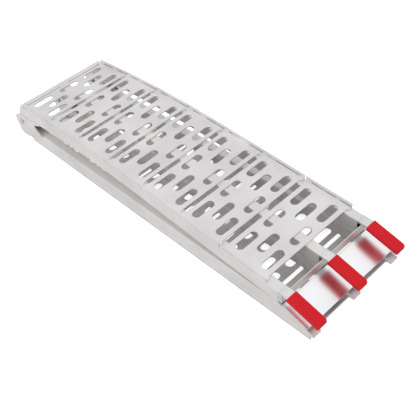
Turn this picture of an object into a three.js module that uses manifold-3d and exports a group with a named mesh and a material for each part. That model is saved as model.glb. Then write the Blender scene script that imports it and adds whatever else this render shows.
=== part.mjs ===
// A folding aluminium loading ramp, folded for carrying: a straight ground half lies deck down, and an
// arched lip half lies deck up on top of it. One hinge across their common end joins them.
// Millimetres. X runs from the hinge to the lip, Y runs across the ramp, Z is up.
import * as THREE from "three";
import { mergeVertices } from "three/addons/utils/BufferGeometryUtils.js";
import Module from "manifold-3d";

const wasm = await Module();
wasm.setup();

// ---- Driving dimensions ----
const RAMP_WIDTH = 290;
const GAP = 0.3; // left between pieces that touch
const FIT = 0.3; // running clearance, on the radius or on a side

// Rails: rectangular tube, three in each half.
const RAIL_WIDTH = 25;
const RAIL_HEIGHT = 40;
const RAIL_WALL = 2;

// Treads: perforated sheet with an upturned lip along each side of the ramp.
const SHEET = 3;
const SIDE_LIP = 10;
const TREAD_PITCH = 138.5;
const SEAM = 1;
const SLOT_WIDTH = 12;
const SLOT_END = 14;
const STRIP_GAP = 3; // between an end strip's tongue and the first tread
const HOLE_WIDTH = 22;
const HOLE_LENGTH = 64;
const COLUMN_SPACING = 39.6;
const OUTER_ROW = 90.5;
const INNER_ROW = 63;
const GROUND_TREADS = 8;
const LIP_TREADS = 7;
const LAST_JOINT_EXTRA = 3.3; // the last tread of the lip half stands this much further on

// Distances along each half from the hinge pin.
const GROUND_FIRST_JOINT = 16;
const GROUND_STRIP_START = -11;
const GROUND_RAIL_OVERHANG = 9;
const LIP_FIRST_JOINT = 35;
const LIP_STRIP_START = 15;
const LIP_RAIL_OVERHANG = 33;

// The lip half is bent to this radius over its first stretch and is straight from there on.
const ARC_RADIUS = 3700;
const ARC_LENGTH = 590;
const ARC_STEP = 37;
const REST_GAP = 0.5; // between the lip rails' ends and the ground rails that they rest on

// Ground end: the rails are cut on a slant, and the foot plate lies across the cuts.
const REST_SETBACK = 3.8; // the cuts start this far before the lip rails' ends, which rest there
const TIP_HEIGHT = 6;
const FOOT_PLATE = 3;
const FOOT_PLATE_MARGIN = 2;
const FOOT_START = 8;
const FOOT_SETBACK = 18;

// Lip end: a cross angle closes the rails, and three sleeved fingers rest on it.
const ANGLE_SHEET = 2.5;
const ANGLE_FLANGE = 12;
const ANGLE_WEB = 25;
const FINGER_THICKNESS = 6;
const FINGER_FLAT = 22;
const FINGER_BEND = THREE.MathUtils.degToRad(12.5);
const FINGER_REACH = 91;
const FINGER_TIP_CHAMFER = 3;
const SLEEVE_WALL = 2.2;
const SLEEVE_CORNER = 3;
const SLEEVE_START = 4.4; // from the rails' ends to the sleeve's mouth

// Hinge: a lug under each lip rail turns on a pin between two cheeks of the ground rail.
const PIVOT_RISE = 16.7; // pin axis above the ground rails' inner face
const PIN_RADIUS = 5;
const PIN_HEAD_RADIUS = 8;
const PIN_HEAD = 3.5;
const PIN_GROOVE = 1;
const PIN_TAIL = 2;
const LUG_RADIUS = 16;
const LUG_LENGTH = 92;
const LUG_SHEET = 4;
const CHEEK_SHEET = 5;
const CHEEK_BACK = 40;
const CHEEK_REACH = 100;
const CHEEK_TOP = 24;
const CHEEK_CORNER = 11;
const CHEEK_SHOULDER_REACH = 60; // where its top edge turns down to the rail
const CHEEK_SHOULDER_RISE = 8;
const CHEEK_BACK_RISE = 5; // of the back edge's upper end, above the pin
const CHEEK_TIP_RISE = 2; // of its forward tip, above the rail
const CHEEK_FOOT_LIFT = 1; // of its lower edge, above the rail's
const CHEEK_FOOT_END = 2; // where its lower edge turns up to the tip
const OUTER_HEEL_RISE = 6;
const OUTER_HEEL_START = 5;
const OUTER_HEEL_END = 16;
const INNER_HEEL_RISE = 20;
const BUSH_WALL = 2.5;
const WASHER_RADIUS = 10;
const WASHER_THICKNESS = 2;
const RING_RADIUS = 8;
const RING_THICKNESS = 1.2;
const RING_MOUTH = THREE.MathUtils.degToRad(70);
const ROUND_SEGMENTS = 16; // facets round a pin, and round what turns on it
const CURVE_SEGMENTS = 8; // facets of a plate's rounded corner
const HOLE_END_SEGMENTS = 4; // facets of each end of a tread's holes
const RING_SEGMENTS = 10; // facets of a retaining ring
const MITRE = THREE.MathUtils.degToRad(34); // slant of the lip rails' hinge ends
const END_CLEARANCE = 1; // left between the halves' rail ends when the ramp is open

// ---- Levels and places that follow from them ----
const OUTER_RAIL = (RAMP_WIDTH - RAIL_WIDTH) / 2; // from the middle of the ramp
const RAIL_OFFSETS = { near: -OUTER_RAIL, centre: 0, far: OUTER_RAIL };
const GROUND_RAIL_BOTTOM = SIDE_LIP + SHEET + GAP;
const GROUND_RAIL_TOP = GROUND_RAIL_BOTTOM + RAIL_HEIGHT;
const PIVOT_Z = GROUND_RAIL_TOP + PIVOT_RISE;
const LIP_DECK_Z = 2 * PIVOT_Z - SIDE_LIP; // makes both decks meet level when the ramp is open
const RAIL_TOP = -(SHEET + GAP); // levels below the lip half's deck line
const RAIL_BOTTOM = RAIL_TOP - RAIL_HEIGHT;
const GROUND_LAST_JOINT = GROUND_FIRST_JOINT + GROUND_TREADS * TREAD_PITCH;
const GROUND_RAIL_TIP = GROUND_LAST_JOINT + GROUND_RAIL_OVERHANG;
const LIP_LAST_JOINT = LIP_FIRST_JOINT + LIP_TREADS * TREAD_PITCH + LAST_JOINT_EXTRA;
const LIP_RAIL_END = LIP_LAST_JOINT + LIP_RAIL_OVERHANG;
const CUT_START = LIP_RAIL_END - REST_SETBACK;
const CUT_ANGLE = Math.atan2(RAIL_HEIGHT - TIP_HEIGHT, GROUND_RAIL_TIP - CUT_START);
const HALF_SLOT = SLOT_WIDTH / 2;
const BEYOND = 50; // how far a cutter runs past what it cuts

// ---- Solids ----

// A closed three.js geometry as a manifold-3d solid.
function solid(geometry) {
  const bare = geometry.clone();
  bare.deleteAttribute("normal");
  bare.deleteAttribute("uv");
  const merged = mergeVertices(bare, 1e-4);
  return new wasm.Manifold(
    new wasm.Mesh({
      numProp: 3,
      vertProperties: merged.attributes.position.array,
      triVerts: new Uint32Array(merged.index.array),
    }),
  );
}

// A manifold-3d solid as a three.js geometry with flat faces.
function geometryOf(body) {
  const mesh = body.getMesh();
  const shared = new THREE.BufferGeometry();
  shared.setAttribute("position", new THREE.BufferAttribute(mesh.vertProperties, 3));
  shared.setIndex(new THREE.BufferAttribute(mesh.triVerts, 1));
  const flat = shared.toNonIndexed();
  flat.computeVertexNormals();
  return flat;
}

function shapeOf(points) {
  return new THREE.Shape(points.map(([a, b]) => new THREE.Vector2(a, b)));
}

function extruded(shape, depth, curveSegments = CURVE_SEGMENTS) {
  return new THREE.ExtrudeGeometry(shape, { depth, bevelEnabled: false, curveSegments });
}

// A side view, drawn in X and Z, given the width from y = low to y = high.
function acrossRamp(shape, low, high, curveSegments) {
  const turn = new THREE.Matrix4().makeBasis(
    new THREE.Vector3(1, 0, 0),
    new THREE.Vector3(0, 0, 1),
    new THREE.Vector3(0, -1, 0),
  );
  return extruded(shape, high - low, curveSegments).applyMatrix4(turn).translate(0, high, 0);
}

// A cross-section, drawn in Y and Z, run from x = start to x = end.
function alongRamp(shape, start, end) {
  const turn = new THREE.Matrix4().makeBasis(
    new THREE.Vector3(0, 1, 0),
    new THREE.Vector3(0, 0, 1),
    new THREE.Vector3(1, 0, 0),
  );
  return extruded(shape, end - start).applyMatrix4(turn).translate(start, 0, 0);
}

// A plan view, drawn in X and Y, from z = low to z = high.
function upward(shape, low, high, curveSegments) {
  return extruded(shape, high - low, curveSegments).translate(0, 0, low);
}

function box(x0, x1, y0, y1, z0, z1) {
  const geometry = new THREE.BoxGeometry(x1 - x0, y1 - y0, z1 - z0);
  return geometry.translate((x0 + x1) / 2, (y0 + y1) / 2, (z0 + z1) / 2);
}

// ---- The lip half's deck line ----

// A point at distance s along the bent line and n above it, in the line's own frame.
function bentPoint(s, n) {
  const bent = THREE.MathUtils.clamp(s, 0, ARC_LENGTH);
  const angle = -bent / ARC_RADIUS;
  const straight = s - bent;
  return {
    x: -ARC_RADIUS * Math.sin(angle) + straight * Math.cos(angle) - n * Math.sin(angle),
    z: -ARC_RADIUS * (1 - Math.cos(angle)) + straight * Math.sin(angle) + n * Math.cos(angle),
    angle,
  };
}

// The slope at the hinge that brings the lip rails' ends down onto the ground rails.
const railHeel = bentPoint(LIP_RAIL_END, RAIL_BOTTOM);
const heelDrop = GROUND_RAIL_TOP + REST_GAP - LIP_DECK_Z;
const HINGE_SLOPE =
  Math.asin(heelDrop / Math.hypot(railHeel.x, railHeel.z)) - Math.atan2(railHeel.z, railHeel.x);

// The same point in the ramp's frame, with the pin axis at x = 0.
function lipPoint(s, n) {
  const point = bentPoint(s, n);
  const cos = Math.cos(HINGE_SLOPE);
  const sin = Math.sin(HINGE_SLOPE);
  return {
    x: point.x * cos - point.z * sin,
    z: LIP_DECK_Z + point.x * sin + point.z * cos,
    angle: point.angle + HINGE_SLOPE,
  };
}

// Distances along the line from start to end, close together where it bends.
function stations(start, end) {
  const places = [start];
  const steps = Math.ceil(ARC_LENGTH / ARC_STEP);
  for (let i = 0; i <= steps; i += 1) {
    const s = (i * ARC_LENGTH) / steps;
    if (s > start && s < end) places.push(s);
  }
  places.push(end);
  return places;
}

// A band between two levels of the deck line, as a side view.
function lipBand(start, end, low, high) {
  const along = stations(start, end);
  const top = along.map((s) => lipPoint(s, high));
  const bottom = along.map((s) => lipPoint(s, low)).reverse();
  return shapeOf([...bottom, ...top].map((point) => [point.x, point.z]));
}

// ---- Treads and end strips ----

// The outline of one hole in a tread, centred on (x, y).
function holeAt([x, y]) {
  const radius = HOLE_WIDTH / 2;
  const reach = HOLE_LENGTH / 2 - radius;
  const outline = new THREE.Path();
  outline.moveTo(x + radius, y - reach);
  outline.absarc(x, y + reach, radius, 0, Math.PI, false);
  outline.absarc(x, y - reach, radius, Math.PI, 2 * Math.PI, false);
  return outline;
}

// Columns of three, two and three holes along the tread.
function holePlaces() {
  const places = [];
  for (const column of [-1, 0, 1]) {
    const rows = column === 0 ? [-INNER_ROW, INNER_ROW] : [-OUTER_ROW, 0, OUTER_ROW];
    for (const row of rows) places.push([column * COLUMN_SPACING, row]);
  }
  return places;
}

// A tread centred on x = 0 with its tread face at z = 0 and its side lips up.
function treadGeometry() {
  const side = RAMP_WIDTH / 2;
  const half = (TREAD_PITCH - SEAM) / 2;
  const slotSide = side - SLOT_END;
  const slotEdge = TREAD_PITCH / 2 - HALF_SLOT;
  const plan = shapeOf([
    [-half, -side],
    [half, -side],
    [half, -slotSide],
    [slotEdge, -slotSide],
    [slotEdge, slotSide],
    [half, slotSide],
    [half, side],
    [-half, side],
    [-half, slotSide],
    [-slotEdge, slotSide],
    [-slotEdge, -slotSide],
    [-half, -slotSide],
  ]);
  plan.holes = holePlaces().map(holeAt);
  return geometryOf(
    solid(upward(plan, -SHEET, 0, HOLE_END_SEGMENTS))
      .add(solid(box(-half, half, -side, SHEET - side, -SHEET, SIDE_LIP)))
      .add(solid(box(-half, half, side - SHEET, side, -SHEET, SIDE_LIP))),
  );
}

// The narrow strip before the first tread, with its deck at z = 0. Its tongue reaches into the slot.
function stripGeometry(start, joint) {
  const side = RAMP_WIDTH / 2;
  const tongueSide = side - SLOT_END - STRIP_GAP;
  const edge = joint - SEAM / 2;
  const tongue = joint + HALF_SLOT - STRIP_GAP;
  const plan = shapeOf([
    [start, -side],
    [edge, -side],
    [edge, -tongueSide],
    [tongue, -tongueSide],
    [tongue, tongueSide],
    [edge, tongueSide],
    [edge, side],
    [start, side],
  ]);
  return upward(plan, -SHEET, 0);
}

// ---- Rails ----

// The slanted end of the lip rails passes through the deck line at LIP_STRIP_START.
function mitrePoint(z) {
  return LIP_STRIP_START + (z - LIP_DECK_Z) * Math.tan(MITRE);
}

function lipRailGeometry() {
  const side = RAIL_WIDTH / 2;
  const bore = side - RAIL_WALL;
  const outside = lipBand(-BEYOND, LIP_RAIL_END, RAIL_BOTTOM, RAIL_TOP);
  const floor = RAIL_BOTTOM + RAIL_WALL;
  const ceiling = RAIL_TOP - RAIL_WALL;
  const inside = lipBand(-2 * BEYOND, LIP_RAIL_END + BEYOND, floor, ceiling);
  const low = LIP_DECK_Z + RAIL_BOTTOM - BEYOND;
  const high = LIP_DECK_Z + BEYOND;
  const offcut = shapeOf([
    [-3 * BEYOND, low],
    [mitrePoint(low), low],
    [mitrePoint(high), high],
    [-3 * BEYOND, high],
  ]);
  const body = solid(acrossRamp(outside, -side, side))
    .subtract(solid(acrossRamp(inside, -bore, bore)))
    .subtract(solid(acrossRamp(offcut, -RAIL_WIDTH, RAIL_WIDTH)));
  return geometryOf(body);
}

// The ground rails' hinge ends are parallel to the lip rails' ends when the ramp is open.
function groundEnd(z) {
  return -mitrePoint(2 * PIVOT_Z - z) + END_CLEARANCE / Math.cos(MITRE);
}

function groundRailGeometry() {
  const side = RAIL_WIDTH / 2;
  const bore = side - RAIL_WALL;
  const outside = shapeOf([
    [groundEnd(GROUND_RAIL_BOTTOM), GROUND_RAIL_BOTTOM],
    [GROUND_RAIL_TIP, GROUND_RAIL_BOTTOM],
    [GROUND_RAIL_TIP, GROUND_RAIL_BOTTOM + TIP_HEIGHT],
    [CUT_START, GROUND_RAIL_TOP],
    [groundEnd(GROUND_RAIL_TOP), GROUND_RAIL_TOP],
  ]);
  const low = GROUND_RAIL_BOTTOM + RAIL_WALL;
  const high = GROUND_RAIL_TOP - RAIL_WALL;
  const inside = box(-2 * BEYOND, GROUND_RAIL_TIP + BEYOND, -bore, bore, low, high);
  return geometryOf(solid(acrossRamp(outside, -side, side)).subtract(solid(inside)));
}

// ---- Ground end ----

// Lies on the slanted cuts, from just past their start to short of the rails' tips.
function footPlateGeometry() {
  const side = RAMP_WIDTH / 2 - FOOT_PLATE_MARGIN;
  const cutPoint = (x, rise) => [
    x + rise * Math.sin(CUT_ANGLE),
    GROUND_RAIL_TOP - (x - CUT_START) * Math.tan(CUT_ANGLE) + rise * Math.cos(CUT_ANGLE),
  ];
  const start = CUT_START + FOOT_START;
  const end = GROUND_RAIL_TIP - FOOT_SETBACK;
  const profile = shapeOf([
    cutPoint(start, GAP),
    cutPoint(end, GAP),
    cutPoint(end, GAP + FOOT_PLATE),
    cutPoint(start, GAP + FOOT_PLATE),
  ]);
  return acrossRamp(profile, -side, side);
}

// ---- Lip end ----
// These pieces are drawn in a frame at the end of the lip rails, on the deck line, sloping with it.

const FINGER_BOTTOM = RAIL_TOP - FINGER_THICKNESS;

function crossAngleGeometry() {
  const side = RAMP_WIDTH / 2;
  const top = FINGER_BOTTOM - GAP;
  const front = GAP + ANGLE_FLANGE;
  const bottom = top - ANGLE_WEB;
  const profile = shapeOf([
    [GAP, bottom],
    [front, bottom],
    [front, top],
    [front - ANGLE_SHEET, top],
    [front - ANGLE_SHEET, bottom + ANGLE_SHEET],
    [GAP, bottom + ANGLE_SHEET],
  ]);
  return acrossRamp(profile, -side, side);
}

// A point on the bent finger's centre line frame: along the slope past the bend, and above its top face.
function fingerPoint(along, above) {
  const x = GAP + FINGER_FLAT + along * Math.cos(FINGER_BEND) + above * Math.sin(FINGER_BEND);
  const z = RAIL_TOP - along * Math.sin(FINGER_BEND) + above * Math.cos(FINGER_BEND);
  return [x, z];
}

function fingerGeometry() {
  const side = RAIL_WIDTH / 2;
  const kink = FINGER_THICKNESS * Math.tan(FINGER_BEND / 2);
  const profile = shapeOf([
    [GAP, FINGER_BOTTOM],
    [GAP + FINGER_FLAT - kink, FINGER_BOTTOM],
    fingerPoint(FINGER_REACH, -FINGER_THICKNESS),
    fingerPoint(FINGER_REACH, -FINGER_TIP_CHAMFER),
    fingerPoint(FINGER_REACH - FINGER_TIP_CHAMFER, 0),
    fingerPoint(0, 0),
    [GAP, RAIL_TOP],
  ]);
  return acrossRamp(profile, -side, side);
}

// A sock of soft plastic over the finger, closed at the tip.
function sleeveGeometry() {
  const grip = RAIL_WIDTH / 2 + FIT;
  const side = grip + SLEEVE_WALL;
  const tip = FINGER_REACH + FIT + SLEEVE_WALL;
  const rise = FIT + SLEEVE_WALL;
  const drop = -FINGER_THICKNESS - rise;
  const outside = shapeOf([
    fingerPoint(SLEEVE_START, drop),
    fingerPoint(tip, drop),
    fingerPoint(tip, -SLEEVE_CORNER),
    fingerPoint(tip - SLEEVE_CORNER, rise),
    fingerPoint(SLEEVE_START, rise),
  ]);
  const inside = shapeOf([
    fingerPoint(-BEYOND, -FINGER_THICKNESS - FIT),
    fingerPoint(FINGER_REACH + FIT, -FINGER_THICKNESS - FIT),
    fingerPoint(FINGER_REACH + FIT, FIT),
    fingerPoint(-BEYOND, FIT),
  ]);
  return geometryOf(
    solid(acrossRamp(outside, -side, side)).subtract(solid(acrossRamp(inside, -grip, grip))),
  );
}

// ---- Hinge ----

function pinBore(radius) {
  const bore = new THREE.CylinderGeometry(radius, radius, 2 * BEYOND, ROUND_SEGMENTS);
  return solid(bore.translate(0, 0, PIVOT_Z));
}

// A bracket bent to a U: its back lies against the lip rail, and its legs are flush with the
// rail's sides.
function lugGeometry() {
  const side = RAIL_WIDTH / 2;
  const top = RAIL_BOTTOM - GAP;
  const tail = lipPoint(LUG_LENGTH, top);
  const tailLow = lipPoint(LUG_LENGTH, top - LUG_SHEET);
  const heelStation = (top * Math.sin(HINGE_SLOPE) - LUG_RADIUS) / Math.cos(HINGE_SLOPE);
  const heel = lipPoint(heelStation, top);
  const reach = Math.hypot(tailLow.x, tailLow.z - PIVOT_Z);
  const touch = Math.atan2(tailLow.z - PIVOT_Z, tailLow.x) - Math.acos(LUG_RADIUS / reach);
  const outline = new THREE.Shape();
  outline.moveTo(heel.x, heel.z);
  outline.lineTo(tail.x, tail.z);
  outline.lineTo(tailLow.x, tailLow.z);
  outline.absarc(0, PIVOT_Z, LUG_RADIUS, touch, -Math.PI, true);
  const back = [lipPoint(-BEYOND, top - LUG_SHEET), lipPoint(LUG_LENGTH + BEYOND, top - LUG_SHEET)];
  const mouth = shapeOf([
    [back[0].x, back[0].z],
    [back[0].x, 0],
    [back[1].x, 0],
    [back[1].x, back[1].z],
  ]);
  const body = solid(acrossRamp(outline, -side, side))
    .subtract(solid(acrossRamp(mouth, LUG_SHEET - side, side - LUG_SHEET)))
    .subtract(pinBore(PIN_RADIUS + FIT));
  return geometryOf(body);
}

// A plate on the side of the ground rail. The inner ones have their heel cut back to the sweep of the
// lip half's end strip, which turns past them.
function cheekGeometry(heel) {
  const foot = GROUND_RAIL_BOTTOM - PIVOT_Z + CHEEK_FOOT_LIFT;
  const points = [
    [-CHEEK_BACK, CHEEK_CORNER - CHEEK_TOP],
    ...heel.map(([x, rise]) => [x, foot + rise]),
    [CHEEK_FOOT_END, foot],
    [CHEEK_REACH, CHEEK_TIP_RISE - PIVOT_RISE],
    [CHEEK_SHOULDER_REACH, CHEEK_SHOULDER_RISE],
    [CHEEK_CORNER - CHEEK_BACK / 2, CHEEK_TOP],
    [-CHEEK_BACK, CHEEK_BACK_RISE],
  ];
  const outline = shapeOf(points.map(([x, z]) => [x, PIVOT_Z + z]));
  return geometryOf(solid(acrossRamp(outline, 0, CHEEK_SHEET)).subtract(pinBore(PIN_RADIUS + FIT)));
}

const OUTER_HEEL = [
  [OUTER_HEEL_START - CHEEK_BACK, OUTER_HEEL_RISE],
  [OUTER_HEEL_END - CHEEK_BACK, 0],
];
const INNER_HEEL = [[CHEEK_CORNER - CHEEK_BACK, INNER_HEEL_RISE]];

const CHEEK_FACE = RAIL_WIDTH / 2 + GAP + CHEEK_SHEET; // outer faces of a pair of cheeks
const WASHER_FACE = CHEEK_FACE + GAP + WASHER_THICKNESS;
const RING_START = WASHER_FACE + GAP;
const RING_END = RING_START + RING_THICKNESS;

function turned(points) {
  return new THREE.LatheGeometry(
    points.map(([radius, y]) => new THREE.Vector2(radius, y)),
    ROUND_SEGMENTS,
  );
}

// The pin's axis is Y, and its head is towards -Y.
function pinGeometry() {
  const head = -(CHEEK_FACE + GAP);
  const groove = PIN_RADIUS - PIN_GROOVE;
  return turned([
    [0, head - PIN_HEAD],
    [PIN_HEAD_RADIUS - PIN_GROOVE, head - PIN_HEAD],
    [PIN_HEAD_RADIUS, head - PIN_HEAD + PIN_GROOVE],
    [PIN_HEAD_RADIUS, head],
    [PIN_RADIUS, head],
    [PIN_RADIUS, RING_START - GAP / 2],
    [groove, RING_START - GAP / 2],
    [groove, RING_END + GAP],
    [PIN_RADIUS, RING_END + GAP],
    [PIN_RADIUS, RING_END + PIN_TAIL],
    [0, RING_END + PIN_TAIL],
  ]);
}

function sleeveRing(inner, outer, start, end) {
  return turned([
    [inner, start],
    [outer, start],
    [outer, end],
    [inner, end],
    [inner, start],
  ]);
}

function washerGeometry() {
  return sleeveRing(PIN_RADIUS + FIT, WASHER_RADIUS, CHEEK_FACE + GAP, WASHER_FACE);
}

// Keeps the lug's legs apart on the pin.
function bushGeometry() {
  const half = RAIL_WIDTH / 2 - LUG_SHEET - GAP;
  return sleeveRing(PIN_RADIUS + FIT, PIN_RADIUS + FIT + BUSH_WALL, -half, half);
}

// An open retaining ring in the pin's groove.
function ringGeometry() {
  const shape = new THREE.Shape();
  const mouth = RING_MOUTH / 2 - Math.PI / 2;
  const end = mouth + 2 * Math.PI - RING_MOUTH;
  shape.absarc(0, 0, RING_RADIUS, mouth, end, false);
  shape.absarc(0, 0, PIN_RADIUS - PIN_GROOVE + FIT, end, mouth, true);
  return acrossRamp(shape, RING_START, RING_END, RING_SEGMENTS);
}

// ---- Materials ----
const aluminium = { color: 0xc9c8c6, metalness: 0.9, roughness: 0.38 };
const polished = { color: 0xd6d6da, metalness: 1, roughness: 0.12 };
const plated = { color: 0xaeb0b2, metalness: 1, roughness: 0.3 };
const redPlastic = { color: 0xd0252d, metalness: 0, roughness: 0.45 };

// ---- Assembly ----
const ramp = new THREE.Group();
const groundHalf = new THREE.Group();
const lipHalf = new THREE.Group();
const model = new THREE.Group();
ramp.add(model);
model.add(groundHalf, lipHalf);

function part(parent, name, geometry, finish) {
  const mesh = new THREE.Mesh(geometry, new THREE.MeshStandardMaterial(finish));
  mesh.name = name;
  parent.add(mesh);
  return mesh;
}

// A piece drawn on the lip half's deck line, placed at distance s and turned to the line's slope.
function onLipDeck(mesh, s) {
  const place = lipPoint(s, 0);
  mesh.position.set(place.x, mesh.position.y, place.z);
  mesh.rotation.y = -place.angle;
}

const tread = treadGeometry();

for (let i = 1; i <= GROUND_TREADS; i += 1) {
  const mesh = part(groundHalf, `ground_tread_${i}`, tread, aluminium);
  mesh.position.set(GROUND_FIRST_JOINT + (i - 0.5) * TREAD_PITCH, 0, SIDE_LIP);
  mesh.rotation.x = Math.PI;
}
for (let i = 1; i <= LIP_TREADS; i += 1) {
  const mesh = part(lipHalf, `lip_tread_${i}`, tread, aluminium);
  const extra = i === LIP_TREADS ? LAST_JOINT_EXTRA : 0;
  onLipDeck(mesh, LIP_FIRST_JOINT + (i - 0.5) * TREAD_PITCH + extra);
}

const groundStrip = stripGeometry(GROUND_STRIP_START, GROUND_FIRST_JOINT);
const groundStripMesh = part(groundHalf, "ground_end_strip", groundStrip, aluminium);
groundStripMesh.position.z = SIDE_LIP;
groundStripMesh.rotation.x = Math.PI;
const stripMiddle = (LIP_STRIP_START + LIP_FIRST_JOINT) / 2;
const lipStrip = stripGeometry(LIP_STRIP_START - stripMiddle, LIP_FIRST_JOINT - stripMiddle);
onLipDeck(part(lipHalf, "lip_end_strip", lipStrip, aluminium), stripMiddle);

part(groundHalf, "foot_plate", footPlateGeometry(), polished);
onLipDeck(part(lipHalf, "lip_cross_angle", crossAngleGeometry(), aluminium), LIP_RAIL_END);

for (const [place, y] of Object.entries(RAIL_OFFSETS)) {
  // The outer pins' heads point outwards, and the centre one's points to the near side.
  const headward = y > 0 ? 1 : -1;
  const pieces = [
    part(groundHalf, `ground_rail_${place}`, groundRailGeometry(), aluminium),
    part(lipHalf, `lip_rail_${place}`, lipRailGeometry(), aluminium),
    part(lipHalf, `hinge_lug_${place}`, lugGeometry(), aluminium),
    part(lipHalf, `finger_${place}`, fingerGeometry(), aluminium),
    part(lipHalf, `finger_sleeve_${place}`, sleeveGeometry(), redPlastic),
  ];
  for (const mesh of pieces) mesh.position.y = y;
  for (const mesh of pieces.slice(-2)) onLipDeck(mesh, LIP_RAIL_END);

  const onPin = [
    part(groundHalf, `hinge_pin_${place}`, pinGeometry(), plated),
    part(groundHalf, `hinge_washer_${place}`, washerGeometry(), plated),
    part(groundHalf, `hinge_ring_${place}`, ringGeometry(), plated),
    part(lipHalf, `hinge_bush_${place}`, bushGeometry(), plated),
  ];
  for (const mesh of onPin) {
    mesh.position.set(0, y, PIVOT_Z);
    if (headward > 0) mesh.rotation.z = Math.PI;
  }

  // Only the outermost cheeks stand clear of the lip half's end strip.
  for (const side of [-1, 1]) {
    const outermost = side * y > 0;
    const sideName = side < 0 ? "near" : "far";
    const railSide = outermost ? "outer" : "inner";
    const name = `ground_cheek_${place}_${y === 0 ? sideName : railSide}`;
    const mesh = part(groundHalf, name, cheekGeometry(outermost ? OUTER_HEEL : INNER_HEEL), aluminium);
    mesh.position.y = y + side * (RAIL_WIDTH / 2 + GAP) - (side < 0 ? CHEEK_SHEET : 0);
  }
}

// The origin is under the middle of the folded ramp, on the surface that it lies on.
ramp.updateMatrixWorld(true);
const extent = new THREE.Box3().setFromObject(model);
model.position.set(-(extent.min.x + extent.max.x) / 2, -(extent.min.y + extent.max.y) / 2, -extent.min.z);

export default ramp;
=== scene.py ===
import math

import bmesh
import bpy
from mathutils import Matrix, Vector


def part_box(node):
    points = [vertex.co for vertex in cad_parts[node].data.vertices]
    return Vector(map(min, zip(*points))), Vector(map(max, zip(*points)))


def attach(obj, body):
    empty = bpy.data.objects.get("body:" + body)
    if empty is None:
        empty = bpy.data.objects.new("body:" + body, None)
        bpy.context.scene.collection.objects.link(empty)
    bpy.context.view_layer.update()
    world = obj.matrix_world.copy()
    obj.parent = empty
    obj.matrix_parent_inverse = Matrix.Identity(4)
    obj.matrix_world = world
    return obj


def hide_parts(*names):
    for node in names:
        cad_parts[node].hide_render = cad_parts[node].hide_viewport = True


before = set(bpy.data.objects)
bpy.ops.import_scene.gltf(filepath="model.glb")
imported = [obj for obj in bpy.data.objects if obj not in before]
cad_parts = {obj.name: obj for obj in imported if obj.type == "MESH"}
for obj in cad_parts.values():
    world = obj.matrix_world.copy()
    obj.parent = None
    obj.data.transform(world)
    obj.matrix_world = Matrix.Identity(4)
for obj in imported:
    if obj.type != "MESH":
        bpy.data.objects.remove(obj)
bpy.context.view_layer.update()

# ---------------------------------------------------------------------------------------------------
# Rails. Six lengths of 40 x 25 mm aluminium box section, extruded with 2 mm walls and rounded corners
# and sawn at the ends. The lip half's three are bent to a low arch near the hinge, and the ground
# half's three are straight, with their toes cut on a slant.
# ---------------------------------------------------------------------------------------------------
PLACES = ("near", "centre", "far")
RAIL_CORNER = 0.0024
RAIL_TONE = (0.84, 0.825, 0.817)
LENGTHWISE = 0.98
SAW_BURR = 0.00025
MERGE_DISTANCE = 1e-5
LEVEL_ANGLE = math.radians(0.1)
CORNER_ANGLE = math.radians(25)
WORN_ROUGHER = 0.14
WORN_DEEPER = -0.6


def bench_copy(node, name):
    """A CAD solid's own shape as a new piece, with its loose triangles joined into whole faces."""
    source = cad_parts[node]
    piece = bpy.data.objects.new(name, source.data.copy())
    bpy.context.scene.collection.objects.link(piece)
    piece.data.materials.clear()
    shell = bmesh.new()
    shell.from_mesh(piece.data)
    bmesh.ops.remove_doubles(shell, verts=shell.verts, dist=MERGE_DISTANCE)
    bmesh.ops.dissolve_limit(
        shell, angle_limit=LEVEL_ANGLE, verts=shell.verts, edges=shell.edges, delimit={"NORMAL"}
    )
    shell.to_mesh(piece.data)
    shell.free()
    return piece


def round_edges(piece, radius, wanted, facets=3):
    """Rounds the piece's corners for which wanted(edge) is true."""
    shell = bmesh.new()
    shell.from_mesh(piece.data)
    chosen = [
        edge
        for edge in shell.edges
        if len(edge.link_faces) == 2
        and edge.calc_face_angle(0) > CORNER_ANGLE
        and wanted(edge)
    ]
    bmesh.ops.bevel(
        shell,
        geom=chosen,
        offset=radius,
        offset_type="OFFSET",
        segments=facets,
        profile=0.5,
        affect="EDGES",
        clamp_overlap=True,
    )
    shell.to_mesh(piece.data)
    shell.free()


def lies_along(edge, axis, cosine=0.9):
    """True where the edge runs along a row axis: 0, 1 or 2 for X, Y or Z."""
    run = (edge.verts[1].co - edge.verts[0].co).normalized()
    return abs(run[axis]) > cosine


def smooth_over(piece, angle=35):
    """Shades the piece smooth up to that angle, with its flat faces kept flat."""
    piece.data.polygons.foreach_set("use_smooth", [True] * len(piece.data.polygons))
    piece.data.set_sharp_from_angle(angle=math.radians(angle))
    weighted = piece.modifiers.new("flat_faces", "WEIGHTED_NORMAL")
    weighted.keep_sharp = True


def finish_piece(piece, material, body, slot, *nodes):
    """Gives a finished piece its material and its body, and hides the CAD nodes that it stands for."""
    piece.data.materials.clear()
    piece.data.materials.append(material)
    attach(piece, body)
    if nodes:
        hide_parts(*nodes)


def material_of(name, metallic, specular=0.5):
    """A new material and its principled shader."""
    material = bpy.data.materials.new(name)
    material.use_nodes = True
    shader = material.node_tree.nodes["Principled BSDF"]
    shader.inputs["Metallic"].default_value = metallic
    shader.inputs["Specular IOR Level"].default_value = specular
    return material, shader


def add_node(tree, kind, **settings):
    """A node of that kind: settings are its properties, or its sockets' values where they name one."""
    node = tree.nodes.new(kind)
    for key, value in settings.items():
        if key in node.inputs:
            node.inputs[key].default_value = value
        else:
            setattr(node, key, value)
    return node


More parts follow.
